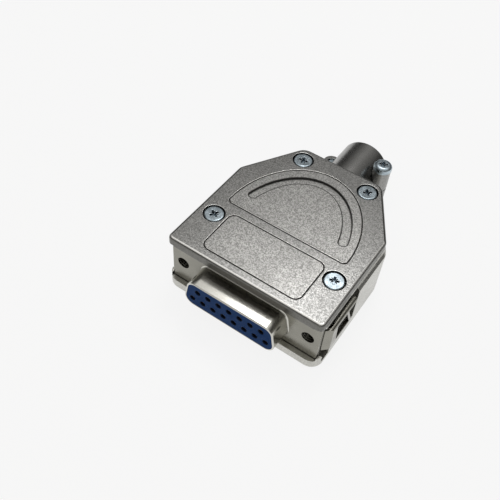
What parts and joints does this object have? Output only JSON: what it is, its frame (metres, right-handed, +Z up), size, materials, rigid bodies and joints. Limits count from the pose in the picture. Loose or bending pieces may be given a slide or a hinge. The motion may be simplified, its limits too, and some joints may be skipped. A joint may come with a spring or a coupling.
{
  "type": "d-sub connector",
  "caption": "D-shaped socket connector with two contact rows in a two-part die-cast metal hood, with side locking slide and a round split cable clamp.",
  "frame": {"origin": "centre of the mating flange's front face, midway between its two fixing holes", "axes": "+X along the connector's long side, +Y back to the cable, +Z up through the cover"},
  "size_m": [0.0418, 0.0629, 0.0173],
  "materials": {
    "diecast": "die-cast zinc with a dull nickel finish, fine grain",
    "shell_steel": "tin-plated drawn steel, bright",
    "insulator_plastic": "moulded deep blue thermoplastic",
    "contact_metal": "turned, gold-flashed",
    "screw_steel": "blue-white zinc plate",
    "slide_steel": "plated spring steel"
  },
  "bodies": {
    "hood": {"housing": "diecast", "cover": "diecast", "clamp_upper": "diecast", "clamp_lower": "diecast", "front_shell": "shell_steel", "rear_shell": "shell_steel", "insulator_front": "insulator_plastic", "insulator_rear": "insulator_plastic", "contact_01": "contact_metal", "contact_02": "contact_metal", "contact_03": "contact_metal", "contact_04": "contact_metal", "contact_05": "contact_metal", "contact_06": "contact_metal", "contact_07": "contact_metal", "contact_08": "contact_metal", "contact_09": "contact_metal", "contact_10": "contact_metal", "contact_11": "contact_metal", "contact_12": "contact_metal", "contact_13": "contact_metal", "contact_14": "contact_metal", "contact_15": "contact_metal", "cover_screw_front_right": "screw_steel", "cover_screw_front_left": "screw_steel", "cover_screw_rear_right": "screw_steel", "cover_screw_rear_left": "screw_steel", "clamp_screw_right": "screw_steel", "clamp_screw_left": "screw_steel"},
    "slide": {"lock_slide": "slide_steel"}
  },
  "joints": [
    {"name": "lock_slide_travel", "type": "slide", "parent": "hood", "child": "slide", "axis": [-1, 0, 0], "range_m": [0, 0.0012]}
  ]
}
